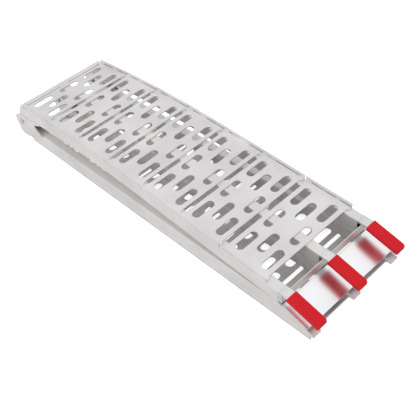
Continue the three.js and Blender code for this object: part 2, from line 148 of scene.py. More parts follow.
def shader_group(name, inputs, outputs):
    """A node group with those named sockets: each input has a kind and a value, each output a kind."""
    group = bpy.data.node_groups.new(name, "ShaderNodeTree")
    for label, (kind, value) in inputs.items():
        socket = group.interface.new_socket(name=label, in_out="INPUT", socket_type=kind)
        socket.default_value = value
    for label, kind in outputs.items():
        group.interface.new_socket(name=label, in_out="OUTPUT", socket_type=kind)
    return group, group.nodes.new("NodeGroupInput"), group.nodes.new("NodeGroupOutput")


def build_metal_surface():
    """Bare aluminium as it comes from the mill: drawn grain, cloudy tone, rub marks and dull smears."""
    group, given, made = shader_group(
        "mill_surface",
        {
            "Tone": ("NodeSocketColor", (0.7, 0.7, 0.69, 1)),
            "Roughness": ("NodeSocketFloat", 0.35),
            "Grain": ("NodeSocketFloat", 0.5),
            "Grain Stretch": ("NodeSocketVector", (6.0, 900.0, 900.0)),
            "Wear": ("NodeSocketFloat", 0.5),
        },
        {"Color": "NodeSocketColor", "Roughness": "NodeSocketFloat", "Height": "NodeSocketFloat"},
    )
    join = group.links.new
    place = add_node(group, "ShaderNodeTexCoord")
    stretch = add_node(group, "ShaderNodeVectorMath", operation="MULTIPLY")
    join(place.outputs["Object"], stretch.inputs[0])
    join(given.outputs["Grain Stretch"], stretch.inputs[1])
    grain = add_node(group, "ShaderNodeTexNoise", Scale=1.0, Detail=3.0, Roughness=0.6)
    join(stretch.outputs[0], grain.inputs["Vector"])
    cloud = add_node(group, "ShaderNodeTexNoise", Scale=9.0, Detail=4.0, Roughness=0.55)
    join(place.outputs["Object"], cloud.inputs["Vector"])
    smear = add_node(group, "ShaderNodeTexNoise", Scale=31.0, Detail=5.0, Roughness=0.7, Distortion=0.6)
    join(place.outputs["Object"], smear.inputs["Vector"])
    rub_way = add_node(group, "ShaderNodeMapping", Rotation=(0.0, 0.0, 0.7), Scale=(35.0, 700.0, 700.0))
    join(place.outputs["Object"], rub_way.inputs["Vector"])
    rub = add_node(group, "ShaderNodeTexNoise", Scale=1.0, Detail=2.0, Roughness=0.5)
    join(rub_way.outputs[0], rub.inputs["Vector"])
    rub_cut = add_node(group, "ShaderNodeMapRange", **{"From Min": 0.66, "From Max": 0.74})
    join(rub.outputs["Fac"], rub_cut.inputs["Value"])
    smear_cut = add_node(group, "ShaderNodeMapRange", **{"From Min": 0.52, "From Max": 0.75})
    join(smear.outputs["Fac"], smear_cut.inputs["Value"])
    marks = add_node(group, "ShaderNodeMath", operation="MAXIMUM")
    join(rub_cut.outputs[0], marks.inputs[0])
    join(smear_cut.outputs[0], marks.inputs[1])
    worn = add_node(group, "ShaderNodeMath", operation="MULTIPLY")
    join(marks.outputs[0], worn.inputs[0])
    join(given.outputs["Wear"], worn.inputs[1])

    cloud_tone = add_node(
        group, "ShaderNodeMapRange", **{"From Min": 0.3, "From Max": 0.7, "To Min": 0.91, "To Max": 1.05}
    )
    join(cloud.outputs["Fac"], cloud_tone.inputs["Value"])
    worn_tone = add_node(group, "ShaderNodeMapRange", **{"To Min": 1.0, "To Max": 0.93})
    join(worn.outputs[0], worn_tone.inputs["Value"])
    tone = add_node(group, "ShaderNodeMath", operation="MULTIPLY")
    join(cloud_tone.outputs[0], tone.inputs[0])
    join(worn_tone.outputs[0], tone.inputs[1])
    colour = add_node(group, "ShaderNodeVectorMath", operation="SCALE")
    join(given.outputs["Tone"], colour.inputs[0])
    join(tone.outputs[0], colour.inputs["Scale"])
    join(colour.outputs[0], made.inputs["Color"])

    rough_cloud = add_node(
        group, "ShaderNodeMapRange", **{"From Min": 0.3, "From Max": 0.7, "To Min": 0.86, "To Max": 1.16}
    )
    join(cloud.outputs["Fac"], rough_cloud.inputs["Value"])
    rough = add_node(group, "ShaderNodeMath", operation="MULTIPLY")
    join(given.outputs["Roughness"], rough.inputs[0])
    join(rough_cloud.outputs[0], rough.inputs[1])
    rougher = add_node(group, "ShaderNodeMath", operation="MULTIPLY_ADD")
    rougher.inputs[1].default_value = WORN_ROUGHER
    join(worn.outputs[0], rougher.inputs[0])
    join(rough.outputs[0], rougher.inputs[2])
    join(rougher.outputs[0], made.inputs["Roughness"])

    grain_height = add_node(group, "ShaderNodeMath", operation="MULTIPLY")
    join(grain.outputs["Fac"], grain_height.inputs[0])
    join(given.outputs["Grain"], grain_height.inputs[1])
    height = add_node(group, "ShaderNodeMath", operation="MULTIPLY_ADD")
    height.inputs[1].default_value = WORN_DEEPER
    join(worn.outputs[0], height.inputs[0])
    join(grain_height.outputs[0], height.inputs[2])
    join(height.outputs[0], made.inputs["Height"])
    return group


MILL_SURFACE = build_metal_surface()


def aluminium(name, tone, roughness, grain, wear, oxide=0.1, stretch=(6.0, 900.0, 900.0), depth=0.00004):
    """Bare aluminium with its own tone, shine, grain, wear, chalky oxide and depth of surface marks."""
    material, shader = material_of(name, metallic=1.0 - oxide)
    tree = material.node_tree
    surface = add_node(tree, "ShaderNodeGroup", node_tree=MILL_SURFACE)
    surface.inputs["Tone"].default_value = (*tone, 1)
    surface.inputs["Roughness"].default_value = roughness
    surface.inputs["Grain"].default_value = grain
    surface.inputs["Grain Stretch"].default_value = stretch
    surface.inputs["Wear"].default_value = wear
    bump = add_node(tree, "ShaderNodeBump", Strength=0.5, Distance=depth)
    tree.links.new(surface.outputs["Color"], shader.inputs["Base Color"])
    tree.links.new(surface.outputs["Roughness"], shader.inputs["Roughness"])
    tree.links.new(surface.outputs["Height"], bump.inputs["Height"])
    tree.links.new(bump.outputs["Normal"], shader.inputs["Normal"])
    return material


rail_metal = aluminium("drawn_box_section", RAIL_TONE, roughness=0.52, grain=1.0, wear=0.45, oxide=0.6)


def rail(node, body):
    """A box section from its CAD solid: long corners rounded inside and out, sawn ends just broken."""
    piece = bench_copy(node, f"{node}_section")
    round_edges(piece, RAIL_CORNER, lambda edge: lies_along(edge, 0, LENGTHWISE), facets=4)
    round_edges(piece, SAW_BURR, lambda edge: not lies_along(edge, 0, LENGTHWISE), facets=1)
    smooth_over(piece)
    finish_piece(piece, rail_metal, body, "rail_tube", node)


for place in PLACES:
    rail(f"ground_rail_{place}", "ground_half")
    rail(f"lip_rail_{place}", "lip_half")

# ---------------------------------------------------------------------------------------------------
# Treads. Fifteen plates of 3 mm aluminium sheet, each punched with eight long holes and folded up
# along both sides of the ramp, then welded across the rails with a slot left between neighbours.
# ---------------------------------------------------------------------------------------------------
SHEET = 0.003
SLOT_END = 0.014
SLOT_CUT = 0.0055
HOLE_WIDTH = 0.022
HOLE_LENGTH = 0.064
COLUMN_SPACING = 0.0396
OUTER_ROW = 0.0905
INNER_ROW = 0.063
HOLE_FACETS = 9
HOLE_ROUNDING = 0.4999
FOLD_OUTSIDE = 0.0032
FOLD_INSIDE = 0.0018
FOLD_FACETS = 4
FOLD_TOLERANCE = 1e-4
# Reach and tone of the painted shade, a dark line that stands in for the shadow at the root of each fold.
PAINTED_SHADE_REACH = FOLD_INSIDE * 0.9
PAINTED_SHADE_TONE = (0.13, 0.12, 0.11, 1)
PUNCHED_EDGE = 0.0003
PUNCHED_ANGLE = math.radians(50)
FACING = 0.9
TREAD_TONE = (0.865, 0.848, 0.848)

first_low, first_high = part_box("ground_tread_1")
TREAD_LENGTH = first_high.x - first_low.x
TREAD_WIDTH = first_high.y - first_low.y
SIDE_LIP = first_high.z - first_low.z - SHEET


def build_painted_fold_shade():
    """Painted shade: a dark line that stands in for the shadow in the tread's two folds and in the end
    strips' gaps, broken here and there.
    """
    group, given, made = shader_group(
        "painted_fold_shade", {"Color": ("NodeSocketColor", (0.7, 0.7, 0.69, 1))}, {"Color": "NodeSocketColor"}
    )
    join = group.links.new
    place = add_node(group, "ShaderNodeTexCoord")
    fold = add_node(group, "ShaderNodeAttribute", attribute_name="painted_shade_mask")
    breaks = add_node(group, "ShaderNodeTexNoise", Scale=14.0, Detail=3.0, Roughness=0.6)
    join(place.outputs["Object"], breaks.inputs["Vector"])
    broken = add_node(group, "ShaderNodeMapRange", **{"From Min": 0.38, "From Max": 0.5, "To Max": 0.85})
    join(breaks.outputs["Fac"], broken.inputs["Value"])
    painted_shade = add_node(group, "ShaderNodeMath", operation="MULTIPLY")
    join(fold.outputs["Fac"], painted_shade.inputs[0])
    join(broken.outputs[0], painted_shade.inputs[1])
    darkened = add_node(group, "ShaderNodeMix", data_type="RGBA")
    darkened.inputs["B"].default_value = PAINTED_SHADE_TONE
    join(painted_shade.outputs[0], darkened.inputs["Factor"])
    join(given.outputs["Color"], darkened.inputs["A"])
    join(darkened.outputs["Result"], made.inputs["Color"])
    return group


tread_metal = aluminium("rolled_tread_sheet", TREAD_TONE, roughness=0.5, grain=0.6, wear=0.5)
tread_tree = tread_metal.node_tree
# The tread's colour passes through the painted fold shade, which darkens it where the shadow falls in the
# folds.
painted_fold_shade = add_node(tread_tree, "ShaderNodeGroup", node_tree=build_painted_fold_shade())
tread_tint = tread_tree.nodes["Principled BSDF"].inputs["Base Color"]
tread_tree.links.new(tread_tint.links[0].from_socket, painted_fold_shade.inputs["Color"])
tread_tree.links.new(painted_fold_shade.outputs["Color"], tread_tint)


def sized_tree(name, sizes):
    """A geometry node tree that takes a shape, a material and those named sizes."""
    tree = bpy.data.node_groups.new(name, "GeometryNodeTree")
    tree.interface.new_socket(name="Geometry", in_out="INPUT", socket_type="NodeSocketGeometry")
    tree.interface.new_socket(name="Material", in_out="INPUT", socket_type="NodeSocketMaterial")
    for label, value in sizes.items():
        socket = tree.interface.new_socket(name=label, in_out="INPUT", socket_type="NodeSocketFloat")
        socket.default_value = value
    tree.interface.new_socket(name="Geometry", in_out="OUTPUT", socket_type="NodeSocketGeometry")
    return tree, tree.nodes.new("NodeGroupInput"), tree.nodes.new("NodeGroupOutput")


def reckon(tree, operation, *terms):
    """A maths node: each term is a number or another node's output."""
    node = add_node(tree, "ShaderNodeMath", operation=operation)
    for socket, term in zip(node.inputs, terms):
        if isinstance(term, (int, float)):
            socket.default_value = term
        else:
            tree.links.new(term, socket)
    return node.outputs[0]


def build_tread_tree():
    """Fills a tread's outline around rows of long holes, thickens it, and folds its two sides up."""
    tree, given, made = sized_tree(
        "perforated_tread",
        {
            "Length": TREAD_LENGTH,
            "Width": TREAD_WIDTH,
            "Sheet": SHEET,
            "Side Lip": SIDE_LIP,
            "Hole Width": HOLE_WIDTH,
            "Hole Length": HOLE_LENGTH,
            "Column Spacing": COLUMN_SPACING,
            "Outer Row": OUTER_ROW,
            "Inner Row": INNER_ROW,
        },
    )
    join = tree.links.new
    size = given.outputs

    hole = add_node(tree, "GeometryNodeCurvePrimitiveQuadrilateral", mode="RECTANGLE")
    join(size["Hole Width"], hole.inputs["Width"])
    join(size["Hole Length"], hole.inputs["Height"])
    rounded = add_node(tree, "GeometryNodeFilletCurve")
    rounded.mode = "POLY"
    rounded.inputs["Count"].default_value = HOLE_FACETS
    rounded.inputs["Limit Radius"].default_value = True
    join(hole.outputs[0], rounded.inputs["Curve"])
    join(reckon(tree, "MULTIPLY", size["Hole Width"], HOLE_ROUNDING), rounded.inputs["Radius"])

    outer = add_node(tree, "GeometryNodeMeshGrid")
    outer.inputs["Vertices X"].default_value = 2
    outer.inputs["Vertices Y"].default_value = 3
    join(reckon(tree, "MULTIPLY", size["Column Spacing"], 2.0), outer.inputs["Size X"])
    join(reckon(tree, "MULTIPLY", size["Outer Row"], 2.0), outer.inputs["Size Y"])
    inner = add_node(tree, "GeometryNodeMeshGrid")
    inner.inputs["Vertices X"].default_value = 1
    inner.inputs["Vertices Y"].default_value = 2
    join(reckon(tree, "MULTIPLY", size["Inner Row"], 2.0), inner.inputs["Size Y"])
    places = add_node(tree, "GeometryNodeJoinGeometry")
    join(outer.outputs["Mesh"], places.inputs[0])
    join(inner.outputs["Mesh"], places.inputs[0])
    punched = add_node(tree, "GeometryNodeInstanceOnPoints")
    join(places.outputs[0], punched.inputs["Points"])
    join(rounded.outputs[0], punched.inputs["Instance"])
    holes = add_node(tree, "GeometryNodeRealizeInstances")
    join(punched.outputs[0], holes.inputs[0])
    outlines = add_node(tree, "GeometryNodeJoinGeometry")
    join(size["Geometry"], outlines.inputs[0])
    join(holes.outputs[0], outlines.inputs[0])
    flat = add_node(tree, "GeometryNodeFillCurve", mode="NGONS")
    join(outlines.outputs[0], flat.inputs["Curve"])

    fold = add_node(tree, "GeometryNodeCurvePrimitiveQuadrilateral", mode="RECTANGLE")
    join(size["Length"], fold.inputs["Width"])
    join(size["Sheet"], fold.inputs["Height"])
    sides = add_node(tree, "GeometryNodeMeshGrid")
    sides.inputs["Vertices X"].default_value = 1
    sides.inputs["Vertices Y"].default_value = 2
    join(reckon(tree, "SUBTRACT", size["Width"], size["Sheet"]), sides.inputs["Size Y"])
    folds = add_node(tree, "GeometryNodeInstanceOnPoints")
    join(sides.outputs["Mesh"], folds.inputs["Points"])
    join(fold.outputs[0], folds.inputs["Instance"])
    fold_outlines = add_node(tree, "GeometryNodeRealizeInstances")
    join(folds.outputs[0], fold_outlines.inputs[0])
    fold_flat = add_node(tree, "GeometryNodeFillCurve", mode="NGONS")
    join(fold_outlines.outputs[0], fold_flat.inputs["Curve"])

    blank = add_node(tree, "GeometryNodeJoinGeometry")
    join(flat.outputs[0], blank.inputs[0])
    join(fold_flat.outputs[0], blank.inputs[0])
    sheet = add_node(tree, "GeometryNodeMergeByDistance")
    join(blank.outputs[0], sheet.inputs["Geometry"])
    sheet.inputs["Distance"].default_value = MERGE_DISTANCE
    thick = add_node(tree, "GeometryNodeExtrudeMesh", mode="FACES")
    thick.inputs["Individual"].default_value = False
    join(sheet.outputs[0], thick.inputs["Mesh"])
    join(size["Sheet"], thick.inputs["Offset Scale"])
    where = add_node(tree, "GeometryNodeInputPosition")
    split = add_node(tree, "ShaderNodeSeparateXYZ")
    join(where.outputs[0], split.inputs[0])
    off_middle = reckon(tree, "ABSOLUTE", split.outputs["Y"])
    less_sheet = reckon(tree, "MULTIPLY", size["Sheet"], -1.0)
    flat_side = reckon(tree, "MULTIPLY_ADD", size["Width"], 0.5, less_sheet)
    at_fold = reckon(tree, "GREATER_THAN", off_middle, flat_side)
    on_top = add_node(tree, "FunctionNodeBooleanMath", operation="AND")
    join(thick.outputs["Top"], on_top.inputs[0])
    join(at_fold, on_top.inputs[1])
    folded = add_node(tree, "GeometryNodeExtrudeMesh", mode="FACES")
    folded.inputs["Individual"].default_value = False
    join(thick.outputs["Mesh"], folded.inputs["Mesh"])
    join(on_top.outputs[0], folded.inputs["Selection"])
    join(size["Side Lip"], folded.inputs["Offset Scale"])
    under = add_node(tree, "GeometryNodeFlipFaces")
    join(sheet.outputs[0], under.inputs[0])
    body = add_node(tree, "GeometryNodeJoinGeometry")
    join(folded.outputs["Mesh"], body.inputs[0])
    join(under.outputs[0], body.inputs[0])
    welded = add_node(tree, "GeometryNodeMergeByDistance")
    welded.inputs["Distance"].default_value = MERGE_DISTANCE
    join(body.outputs[0], welded.inputs["Geometry"])
    real = add_node(tree, "GeometryNodeRealizeInstances")
    join(welded.outputs[0], real.inputs[0])
    coat = add_node(tree, "GeometryNodeSetMaterial")
    join(real.outputs[0], coat.inputs["Geometry"])
    join(size["Material"], coat.inputs["Material"])
    join(coat.outputs[0], made.inputs[0])
    return tree


def grown(name, carrier_data, tree, material):
    """The plain mesh that a tree makes from a carrier shape."""
    carrier = bpy.data.objects.new(f"{name}_carrier", carrier_data)
    bpy.context.scene.collection.objects.link(carrier)
    modifier = carrier.modifiers.new("grow", "NODES")
    modifier.node_group = tree
    sockets = {item.name: item for item in tree.interface.items_tree if item.in_out == "INPUT"}
    modifier[sockets["Material"].identifier] = material
    bpy.context.view_layer.update()
    evaluated = carrier.evaluated_get(bpy.context.evaluated_depsgraph_get())
    mesh = bpy.data.meshes.new_from_object(evaluated)
    carrier.modifiers.remove(modifier)
    bpy.data.objects.remove(carrier)
    mesh.name = name
    return mesh


def polyline(name, runs, closed=False):
    """A curve of straight runs, each a list of points."""
    curve = bpy.data.curves.new(name, "CURVE")
    curve.dimensions = "3D"
    for run in runs:
        spline = curve.splines.new("POLY")
        spline.points.add(len(run) - 1)
        for point, place in zip(spline.points, run):
            point.co = (*place, 1)
        spline.use_cyclic_u = closed
    return curve


def tread_outline():
    """The flat part of a tread, between its folds, cut back at both ends for the slots."""
    end = TREAD_LENGTH / 2
    cut = end - SLOT_CUT
    side = TREAD_WIDTH / 2 - SHEET
    slot = TREAD_WIDTH / 2 - SLOT_END
    corner = [(end, side, 0), (end, slot, 0), (cut, slot, 0)]
    one_end = [(x, -y, z) for x, y, z in corner] + corner[::-1]
    return [one_end + [(-x, y, z) for x, y, z in one_end[::-1]]]


def tread_blank():
    """The finished tread about its own middle, with its edges folded and broken."""
    outline = polyline("tread_outline", tread_outline(), closed=True)
    mesh = grown("tread_blank", outline, build_tread_tree(), tread_metal)
    blank = bpy.data.objects.new("tread_blank", mesh)
    half = TREAD_WIDTH / 2

    def fold_edge(side, height):
        """Picks the long edges at that distance from the ramp's middle line and that height."""

        def wanted(edge):
            middle = (edge.verts[0].co + edge.verts[1].co) / 2
            at_side = abs(abs(middle.y) - side) < FOLD_TOLERANCE
            return lies_along(edge, 0) and at_side and abs(middle.z - height) < FOLD_TOLERANCE

        return wanted

    round_edges(blank, FOLD_OUTSIDE, fold_edge(half, 0), FOLD_FACETS)
    round_edges(blank, FOLD_INSIDE, fold_edge(half - SHEET, SHEET), FOLD_FACETS)
    round_edges(blank, PUNCHED_EDGE, lambda edge: edge.calc_face_angle(0) > PUNCHED_ANGLE, facets=1)
    # The vertices at the root of each fold are marked for the painted shade line, which stands in for the
    # shadow there.
    mark = mesh.attributes.new("painted_shade_mask", "FLOAT", "POINT")
    for vertex, value in zip(mesh.vertices, mark.data):
        inward = half - SHEET - abs(vertex.co.y)
        in_fold = MERGE_DISTANCE < inward < PAINTED_SHADE_REACH and vertex.co.z > SHEET
        value.value = 1.0 if in_fold else 0.0
    mesh.transform(Matrix.Translation((0, 0, -(SHEET + SIDE_LIP) / 2)))
    bpy.data.objects.remove(blank)
    return mesh


def plate_slope(node):
    """The slope in X of a CAD plate, from its largest face that looks up or down."""
    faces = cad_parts[node].data.polygons
    flat = max((face for face in faces if abs(face.normal.z) > FACING), key=lambda face: face.area)
    up = flat.normal if flat.normal.z > 0 else -flat.normal
    return math.atan2(up.x, up.z)


TREAD_BLANK = tread_blank()


def tread(node, body, turned_over):
    """A tread laid where its CAD solid lies: deck up on the lip half, deck down on the ground half."""
    low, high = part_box(node)
    placed = Matrix.Translation((low + high) / 2) @ Matrix.Rotation(plate_slope(node), 4, "Y")
    if turned_over:
        placed = placed @ Matrix.Rotation(math.pi, 4, "X")
    piece = bpy.data.objects.new(f"{node}_sheet", TREAD_BLANK.copy())
    bpy.context.scene.collection.objects.link(piece)
    piece.data.transform(placed)
    smooth_over(piece)
    finish_piece(piece, tread_metal, body, "tread_sheet", node)


ground_treads = sorted(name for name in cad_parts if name.startswith("ground_tread_"))
lip_treads = sorted(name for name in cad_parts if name.startswith("lip_tread_"))
for name in ground_treads:
    tread(name, "ground_half", turned_over=True)
for name in lip_treads:
    tread(name, "lip_half", turned_over=False)

# ---------------------------------------------------------------------------------------------------
# End strips and cross angle. The strips are sheared from the tread sheet and close each half at the
# hinge. The angle is folded sheet that ties the lip rails together behind the fingers.
# ---------------------------------------------------------------------------------------------------
SHEARED_EDGE = 0.0003
ANGLE_BEND = 0.0014
BEND_HEIGHT = 0.0045
BEND_DEPTH = 0.005
ANGLE_TONE = (0.70, 0.68, 0.66)


def any_edge(edge):
    """Picks every corner of a piece."""
    return True


for node, body in (("ground_end_strip", "ground_half"), ("lip_end_strip", "lip_half")):
    strip = bench_copy(node, f"{node}_sheet")
    round_edges(strip, SHEARED_EDGE, any_edge, facets=1)
    # The strip's edge faces that face the tread are marked for the painted shade line, which stands in for
    # the shadow in the gap beside the tread.
    mark = strip.data.attributes.new("painted_shade_mask", "FLOAT", "POINT")
    for face in strip.data.polygons:
        if face.normal.x > FACING:
            for corner in face.vertices:
                mark.data[corner].value = 1.0
    smooth_over(strip)
    finish_piece(strip, tread_metal, body, "tread_sheet", node)

angle = bench_copy("lip_cross_angle", "lip_cross_angle_sheet")
angle_low, angle_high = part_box("lip_cross_angle")
round_edges(
    angle,
    ANGLE_BEND,
    lambda edge: lies_along(edge, 1)
    and edge.verts[0].co.z < angle_low.z + BEND_HEIGHT
    and edge.verts[0].co.x > angle_high.x - BEND_DEPTH,
    facets=3,
)
smooth_over(angle)
angle_metal = aluminium("folded_angle", ANGLE_TONE, roughness=0.42, grain=0.6, wear=0.8)
finish_piece(angle, angle_metal, "lip_half", "rail_tube", "lip_cross_angle")

# ---------------------------------------------------------------------------------------------------
# Foot plate. Bright rolled aluminium, nearly a mirror, laid across the slanted toes of the ground
# rails and welded along its sides.
# ---------------------------------------------------------------------------------------------------
FOOT_TONE = (0.95, 0.945, 0.96)

foot_metal = aluminium(
    "bright_foot_sheet",
    FOOT_TONE,
    roughness=0.27,
    grain=0.35,
    wear=0.08,
    oxide=0.0,
    stretch=(5.0, 260.0, 5.0),
    depth=0.00002,
)
foot = bench_copy("foot_plate", "foot_plate_sheet")
round_edges(foot, SHEARED_EDGE, any_edge, facets=1)
smooth_over(foot)
finish_piece(foot, foot_metal, "ground_half", "bright_plate", "foot_plate")

# ---------------------------------------------------------------------------------------------------
# Fingers and sleeves. Each finger is flat aluminium bar, 25 x 6 mm, bent down a little behind the
# cross angle. Over it is pushed a dipped sleeve of red vinyl that saves the truck's paint.
# ---------------------------------------------------------------------------------------------------
BAR_CORNER = 0.0006
BAR_TONE = (0.76, 0.765, 0.775)
SLEEVE_EDGE = 0.0011
SLEEVE_TIP_CORNER = 0.0042
SLEEVE_TIP = 0.004
SLEEVE_SIDE = 1e-4
SLANTED = 0.5
VINYL_TONES = ((0.70, 0.008, 0.017, 1), (0.78, 0.012, 0.023, 1))
SCUFFED_VINYL_TONE = (0.80, 0.05, 0.056, 1)
SCUFFING = 0.35


def build_sleeve_material():
    """Soft red vinyl: a faintly cloudy red, pebbled skin and pale scuffs."""
    material, shader = material_of("red_vinyl", metallic=0.0, specular=0.18)
    tree = material.node_tree
    join = tree.links.new
    place = add_node(tree, "ShaderNodeTexCoord")
    cloud = add_node(tree, "ShaderNodeTexNoise", Scale=38.0, Detail=4.0, Roughness=0.6)
    skin = add_node(tree, "ShaderNodeTexNoise", Scale=900.0, Detail=2.0, Roughness=0.5)
    scuff_way = add_node(tree, "ShaderNodeMapping", Rotation=(0.0, 0.0, 0.25), Scale=(60.0, 800.0, 300.0))
    scuff = add_node(tree, "ShaderNodeTexNoise", Scale=1.0, Detail=3.0, Roughness=0.6)
    join(place.outputs["Object"], cloud.inputs["Vector"])
    join(place.outputs["Object"], skin.inputs["Vector"])
    join(place.outputs["Object"], scuff_way.inputs["Vector"])
    join(scuff_way.outputs[0], scuff.inputs["Vector"])
    scuffed = add_node(tree, "ShaderNodeMapRange", **{"From Min": 0.62, "From Max": 0.75})
    join(scuff.outputs["Fac"], scuffed.inputs["Value"])
    tint = add_node(tree, "ShaderNodeMix", data_type="RGBA")
    tint.inputs["A"].default_value, tint.inputs["B"].default_value = VINYL_TONES
    join(cloud.outputs["Fac"], tint.inputs["Factor"])
    faded = add_node(tree, "ShaderNodeMix", data_type="RGBA")
    faded.inputs["B"].default_value = SCUFFED_VINYL_TONE
    fading = add_node(tree, "ShaderNodeMath", operation="MULTIPLY")
    fading.inputs[1].default_value = SCUFFING
    join(scuffed.outputs[0], fading.inputs[0])
    join(fading.outputs[0], faded.inputs["Factor"])
    join(tint.outputs["Result"], faded.inputs["A"])
    join(faded.outputs["Result"], shader.inputs["Base Color"])
    rough = add_node(tree, "ShaderNodeMapRange", **{"To Min": 0.36, "To Max": 0.5})
    join(cloud.outputs["Fac"], rough.inputs["Value"])
    join(rough.outputs[0], shader.inputs["Roughness"])
    bump = add_node(tree, "ShaderNodeBump", Strength=0.35, Distance=0.00008)
    join(skin.outputs["Fac"], bump.inputs["Height"])
    join(bump.outputs["Normal"], shader.inputs["Normal"])
    return material


sleeve_vinyl = build_sleeve_material()
finger_metal = aluminium("flat_bar", BAR_TONE, roughness=0.36, grain=0.8, wear=0.5)

for place in PLACES:
    finger = bench_copy(f"finger_{place}", f"finger_{place}_bar")
    round_edges(finger, BAR_CORNER, any_edge, facets=2)
    smooth_over(finger)
    finish_piece(finger, finger_metal, "lip_half", "rail_tube", f"finger_{place}")

    sleeve_node = f"finger_sleeve_{place}"
    sleeve_low, sleeve_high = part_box(sleeve_node)
    sleeve = bench_copy(sleeve_node, f"{sleeve_node}_vinyl")

    def tip_corner(edge, low=sleeve_low, high=sleeve_high):
        """Picks the upright corners at both sides of the sleeve's closed end."""
        middle = (edge.verts[0].co + edge.verts[1].co) / 2
        outer = min(abs(middle.y - low.y), abs(middle.y - high.y)) < SLEEVE_SIDE
        return outer and middle.x > high.x - SLEEVE_TIP and not lies_along(edge, 1, SLANTED)

    round_edges(sleeve, SLEEVE_TIP_CORNER, tip_corner, facets=4)
    round_edges(sleeve, SLEEVE_EDGE, any_edge, facets=3)
    smooth_over(sleeve, angle=40)
    finish_piece(sleeve, sleeve_vinyl, "lip_half", "red_plastic", sleeve_node)

# ---------------------------------------------------------------------------------------------------
# Hinge plates. Cheeks are 5 mm aluminium plate, sawn to shape and welded to both sides of each
# ground rail. Lugs are bent from 4 mm plate and welded under the lip rails, between the cheeks.
# ---------------------------------------------------------------------------------------------------
PLATE_EDGE = 0.0006
PLATE_TONE = (0.84, 0.825, 0.82)

plate_metal = aluminium("cut_hinge_plate", PLATE_TONE, roughness=0.4, grain=0.5, wear=0.7)
for start, body in (("ground_cheek_", "ground_half"), ("hinge_lug_", "lip_half")):
    for node in sorted(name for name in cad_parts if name.startswith(start)):
        plate = bench_copy(node, f"{node}_plate")
        round_edges(plate, PLATE_EDGE, any_edge, facets=2)
        smooth_over(plate)
        finish_piece(plate, plate_metal, body, "hinge_plate", node)

# ---------------------------------------------------------------------------------------------------
# Hinge pins. Turned steel pins, zinc plated, one through each pair of cheeks: a low round head
# outside, and a washer and an open retaining ring inside. A bush keeps each lug's legs apart.
# ---------------------------------------------------------------------------------------------------
PIN_RADIUS = 0.005
PIN_GROOVE = 0.001
PIN_HEAD = 0.0035
HEAD_CROWN = 0.0012
TURNED_FACETS = 48
RING_EDGE_ANGLE = math.radians(60)
FIT = 0.0003
ZINC_TONES = ((0.60, 0.61, 0.63, 1), (0.68, 0.67, 0.63, 1))


def build_zinc_material():
    """Zinc plating: blue-white to straw yellow, duller in clouds."""
    material, shader = material_of("zinc_plated_steel", metallic=1.0)
    tree = material.node_tree
    join = tree.links.new
    place = add_node(tree, "ShaderNodeTexCoord")
    cloud = add_node(tree, "ShaderNodeTexNoise", Scale=120.0, Detail=4.0, Roughness=0.6)
    join(place.outputs["Object"], cloud.inputs["Vector"])
    tint = add_node(tree, "ShaderNodeMix", data_type="RGBA")
    tint.inputs["A"].default_value, tint.inputs["B"].default_value = ZINC_TONES
    join(cloud.outputs["Fac"], tint.inputs["Factor"])
    join(tint.outputs["Result"], shader.inputs["Base Color"])
    rough = add_node(tree, "ShaderNodeMapRange", **{"To Min": 0.24, "To Max": 0.42})
    join(cloud.outputs["Fac"], rough.inputs["Value"])
    join(rough.outputs[0], shader.inputs["Roughness"])
    bump = add_node(tree, "ShaderNodeBump", Strength=0.3, Distance=0.00003)
    join(cloud.outputs["Fac"], bump.inputs["Height"])
    join(bump.outputs["Normal"], shader.inputs["Normal"])
    return material


zinc = build_zinc_material()


def turned_piece(name, profile, centre, headward):
    """A lathe-turned piece about the line along Y through centre: profile is radius and place on it."""
    shell = bmesh.new()
    rings = []
    for radius, along in profile:
        if radius == 0:
            rings.append([shell.verts.new(centre + Vector((0, headward * along, 0)))])
            continue
        ring = []
        for step in range(TURNED_FACETS):
            turn = 2 * math.pi * step / TURNED_FACETS
            offset = Vector((radius * math.cos(turn), headward * along, radius * math.sin(turn)))
            ring.append(shell.verts.new(centre + offset))
        rings.append(ring)
    closed = profile[0] == profile[-1]
    if closed:
        for vertex in rings.pop():
            shell.verts.remove(vertex)
        rings.append(rings[0])
    for inner, outer in zip(rings, rings[1:]):
        for step in range(TURNED_FACETS):
            after = (step + 1) % TURNED_FACETS
            corners = [inner[step % len(inner)], inner[after % len(inner)]]
            corners += [outer[after % len(outer)], outer[step % len(outer)]]
            shell.faces.new(dict.fromkeys(corners))
    bmesh.ops.recalc_face_normals(shell, faces=shell.faces)
    mesh = bpy.data.meshes.new(name)
    shell.to_mesh(mesh)
    shell.free()
    piece = bpy.data.objects.new(name, mesh)
    bpy.context.scene.collection.objects.link(piece)
    smooth_over(piece, angle=30)
    return piece


